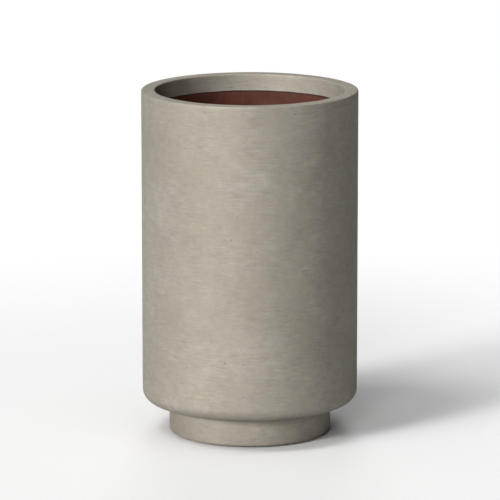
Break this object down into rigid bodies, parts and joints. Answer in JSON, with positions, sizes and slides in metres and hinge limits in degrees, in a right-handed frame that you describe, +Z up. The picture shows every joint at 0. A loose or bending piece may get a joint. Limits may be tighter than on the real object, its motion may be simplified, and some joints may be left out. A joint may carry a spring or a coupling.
{
  "type": "planter",
  "caption": "Round straight-sided concrete floor planter on a recessed round foot, lined inside, with a plugged drain and a lift-out strainer.",
  "frame": {"origin": "on the floor, under the centre of the planter", "axes": "+Z up along the planter's axis; the planter is round about it"},
  "size_m": [0.3799, 0.38, 0.611],
  "materials": {
    "concrete": "matte cast concrete with faint clouding and fine pores",
    "mortar": "matte mortar",
    "lining": "brushed-on red-brown waterproof coat",
    "drain_plastic": "moulded black plastic",
    "black_rubber": "moulded black rubber"
  },
  "bodies": {
    "planter": {"body_shell": "concrete", "foot_ring": "concrete", "bond_bed": "mortar", "waterproof_lining": "lining", "drain_sleeve": "drain_plastic", "flange_seal": "black_rubber", "sleeve_nut": "drain_plastic", "floor_pads": "black_rubber"},
    "strainer": {"drain_screen": "drain_plastic"},
    "plug": {"drain_plug": "black_rubber"}
  },
  "joints": [
    {"name": "strainer_lift", "type": "slide", "parent": "planter", "child": "strainer", "axis": [0, 0, 1], "range_m": [0, 0.56]},
    {"name": "plug_pull", "type": "slide", "parent": "planter", "child": "plug", "axis": [0, 0, -1], "range_m": [0, 0.095]}
  ]
}
